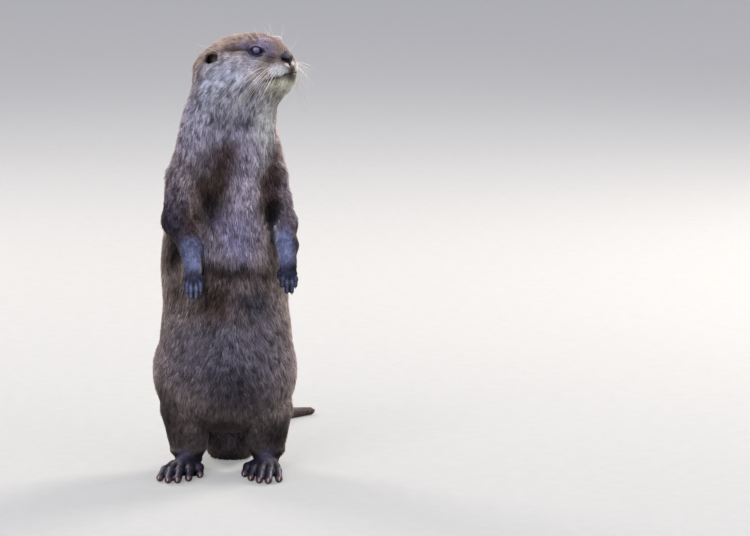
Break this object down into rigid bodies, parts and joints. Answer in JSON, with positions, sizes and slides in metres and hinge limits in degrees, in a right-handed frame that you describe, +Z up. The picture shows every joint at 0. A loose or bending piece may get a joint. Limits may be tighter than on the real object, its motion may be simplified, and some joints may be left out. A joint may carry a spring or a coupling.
{
  "type": "small-clawed otter",
  "caption": "Upright otter standing on its hind legs, forelegs hanging over the belly, head turned to its left, tail laid on the floor behind it.",
  "frame": {"origin": "middle of the box round the otter, on the floor it stands on", "axes": "+Z up; the otter's belly faces -Y and its left side is +X, with the head turned towards +X and the tail behind it towards +Y"},
  "size_m": [0.176, 0.3842, 0.5036],
  "materials": {
    "coat": "short dense fur, a little damp, grizzled brown and grey",
    "ear": "thin furred skin, dark inside",
    "foot": "bare wrinkled skin, slate grey, pinkish at the toe tips",
    "nose": "damp pebbled nose leather",
    "eye": "wet dark brown eye, glossy",
    "claw": "short blunt horn, pinkish brown"
  },
  "bodies": {
    "root": {"claw_fore_left_1": "claw", "claw_fore_left_2": "claw", "claw_fore_left_3": "claw", "claw_fore_left_4": "claw", "claw_fore_left_5": "claw", "claw_fore_right_1": "claw", "claw_fore_right_2": "claw", "claw_fore_right_3": "claw", "claw_fore_right_4": "claw", "claw_fore_right_5": "claw", "claw_hind_left_1": "claw", "claw_hind_left_2": "claw", "claw_hind_left_3": "claw", "claw_hind_left_4": "claw", "claw_hind_left_5": "claw", "claw_hind_right_1": "claw", "claw_hind_right_2": "claw", "claw_hind_right_3": "claw", "claw_hind_right_4": "claw", "claw_hind_right_5": "claw", "ear_left": "ear", "ear_right": "ear", "eye_left": "eye", "eye_right": "eye", "forefoot_left": "foot", "forefoot_right": "foot", "foreleg_left": "coat", "foreleg_right": "coat", "head": "coat", "hindfoot_left": "foot", "hindfoot_right": "foot", "hindleg_left": "coat", "hindleg_right": "coat", "neck": "coat", "nose": "nose", "tail_middle": "coat", "tail_root": "coat", "tail_tip": "coat", "trunk": "coat"}
  },
  "joints": []
}
